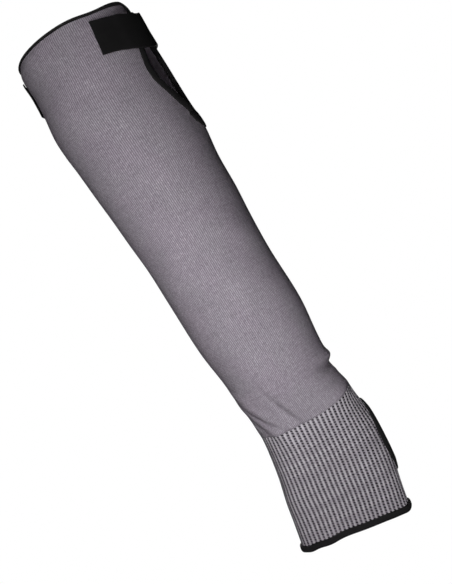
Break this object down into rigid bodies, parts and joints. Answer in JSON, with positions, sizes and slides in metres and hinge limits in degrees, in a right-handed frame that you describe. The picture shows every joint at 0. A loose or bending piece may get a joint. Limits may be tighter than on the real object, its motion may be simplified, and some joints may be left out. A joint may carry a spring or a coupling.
{
  "type": "cut resistant sleeve",
  "caption": "Knitted protective sleeve in its worn form, with a ribbed hand cuff, a thumb opening, and a slit at the arm opening closed by a hook and loop strap.",
  "frame": {"origin": "centre of the arm opening, where the upper arm fills the sleeve", "axes": "+Z along the arm towards the shoulder, +X to the thumb side, where the slit and the thumb opening are, and -Y to the front"},
  "size_m": [0.1147, 0.1004, 0.465],
  "materials": {
    "body_knit": "matte fine jersey knit, heathered mauve grey",
    "cuff_knit": "matte rib knit, light ribs with dark dots between them",
    "binding_tape": "matte black folded tape",
    "loop_fabric": "black brushed loops",
    "strap_fabric": "black woven strap, matte"
  },
  "bodies": {
    "root": {"sleeve_body": "body_knit", "hand_cuff": "cuff_knit", "opening_binding": "binding_tape", "thumb_binding": "binding_tape", "hem_binding": "binding_tape", "loop_patch": "loop_fabric", "closure_strap": "strap_fabric"}
  },
  "joints": []
}
